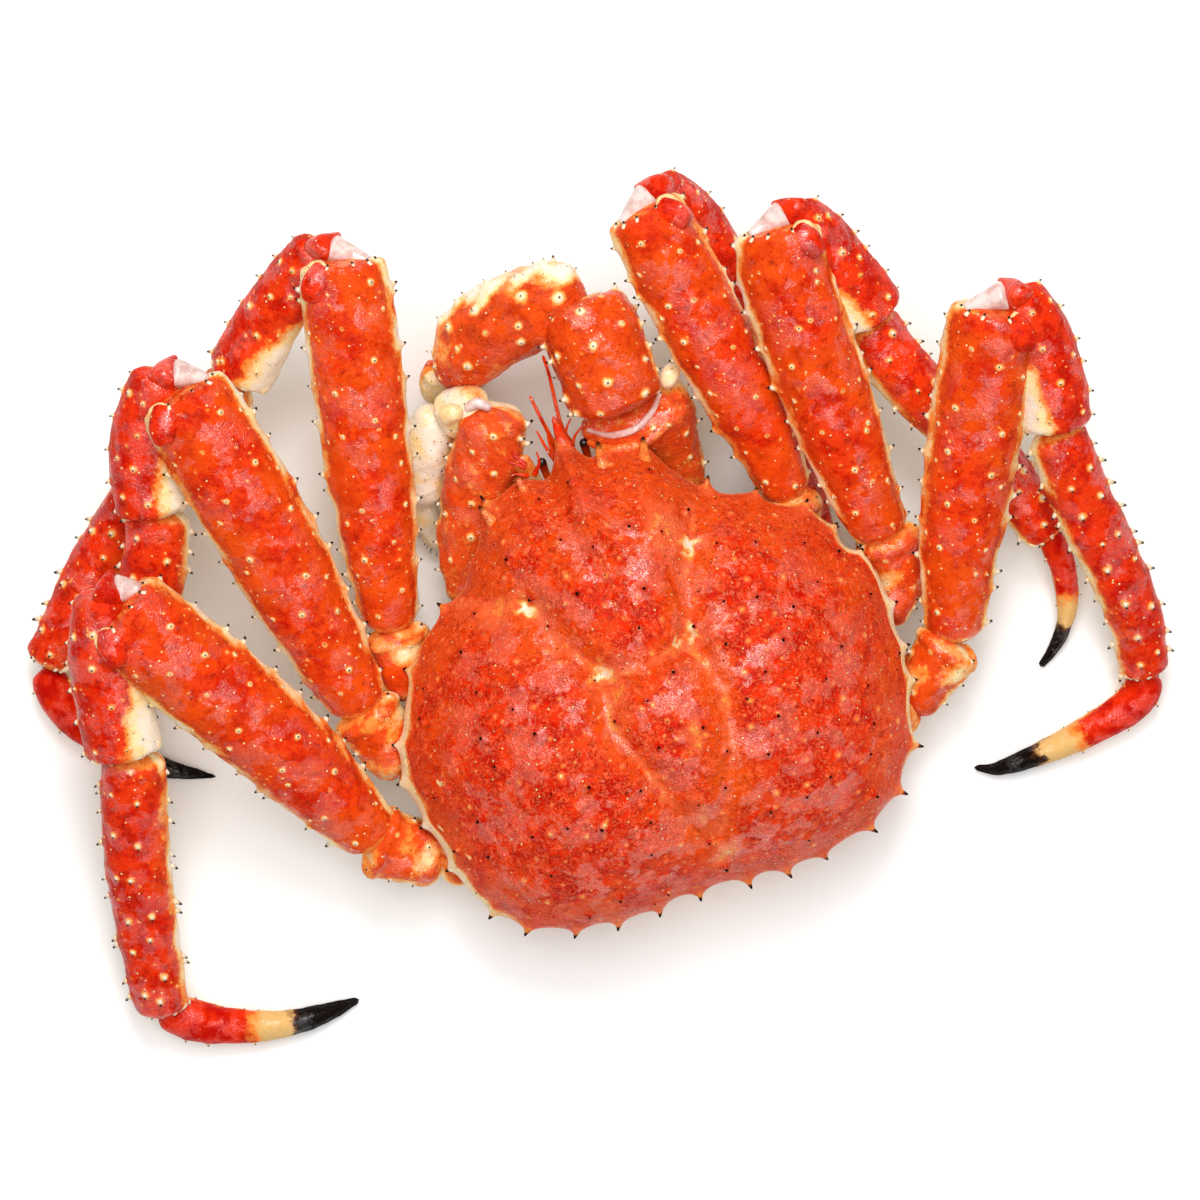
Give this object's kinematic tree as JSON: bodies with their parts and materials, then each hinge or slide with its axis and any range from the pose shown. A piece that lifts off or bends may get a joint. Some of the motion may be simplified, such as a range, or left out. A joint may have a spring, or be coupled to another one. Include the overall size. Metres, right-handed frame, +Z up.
{
  "type": "king crab",
  "caption": "Whole cooked king crab lying on its belly, spiny red carapace in the middle, thick legs folded at the knees and claws curled in front of the beak.",
  "frame": {"origin": "on the surface it lies on, under the middle of the box round the whole crab", "axes": "+Z up from the belly to the back, +X along the longest side from the left legs to the right legs, +Y to the side that the folded knees and the claws point to"},
  "size_m": [0.4388, 0.3308, 0.0971],
  "materials": {
    "carapace_shell": "wet gloss",
    "leg_shell": "wet gloss",
    "leg_tip": "satin, dark at the point",
    "claw_shell": "wet gloss",
    "belly_shell": "satin",
    "feeler": "satin",
    "eye": "gloss"
  },
  "bodies": {
    "root": {"abdomen": "belly_shell", "antenna_left": "feeler", "antenna_right": "feeler", "antennal_scale_left": "feeler", "antennal_scale_right": "feeler", "carapace": "carapace_shell", "claw_left_basis": "claw_shell", "claw_left_carpus": "claw_shell", "claw_left_finger": "claw_shell", "claw_left_merus": "claw_shell", "claw_left_palm": "claw_shell", "claw_right_basis": "claw_shell", "claw_right_carpus": "claw_shell", "claw_right_finger": "claw_shell", "claw_right_merus": "claw_shell", "claw_right_palm": "claw_shell", "eye_left": "eye", "eye_right": "eye", "leg_left_back_carpus": "leg_shell", "leg_left_back_coxa": "belly_shell", "leg_left_back_dactyl": "leg_tip", "leg_left_back_ischium": "leg_shell", "leg_left_back_merus": "leg_shell", "leg_left_back_propodus": "leg_shell", "leg_left_front_carpus": "leg_shell", "leg_left_front_coxa": "belly_shell", "leg_left_front_dactyl": "leg_tip", "leg_left_front_ischium": "leg_shell", "leg_left_front_merus": "leg_shell", "leg_left_front_propodus": "leg_shell", "leg_left_middle_carpus": "leg_shell", "leg_left_middle_coxa": "belly_shell", "leg_left_middle_dactyl": "leg_tip", "leg_left_middle_ischium": "leg_shell", "leg_left_middle_merus": "leg_shell", "leg_left_middle_propodus": "leg_shell", "leg_right_back_carpus": "leg_shell", "leg_right_back_coxa": "belly_shell", "leg_right_back_dactyl": "leg_tip", "leg_right_back_ischium": "leg_shell", "leg_right_back_merus": "leg_shell", "leg_right_back_propodus": "leg_shell", "leg_right_front_carpus": "leg_shell", "leg_right_front_coxa": "belly_shell", "leg_right_front_dactyl": "leg_tip", "leg_right_front_ischium": "leg_shell", "leg_right_front_merus": "leg_shell", "leg_right_front_propodus": "leg_shell", "leg_right_middle_carpus": "leg_shell", "leg_right_middle_coxa": "belly_shell", "leg_right_middle_dactyl": "leg_tip", "leg_right_middle_ischium": "leg_shell", "leg_right_middle_merus": "leg_shell", "leg_right_middle_propodus": "leg_shell", "mouth_frame": "belly_shell", "mouthpart_left": "belly_shell", "mouthpart_right": "belly_shell", "thorax": "belly_shell"}
  },
  "joints": []
}
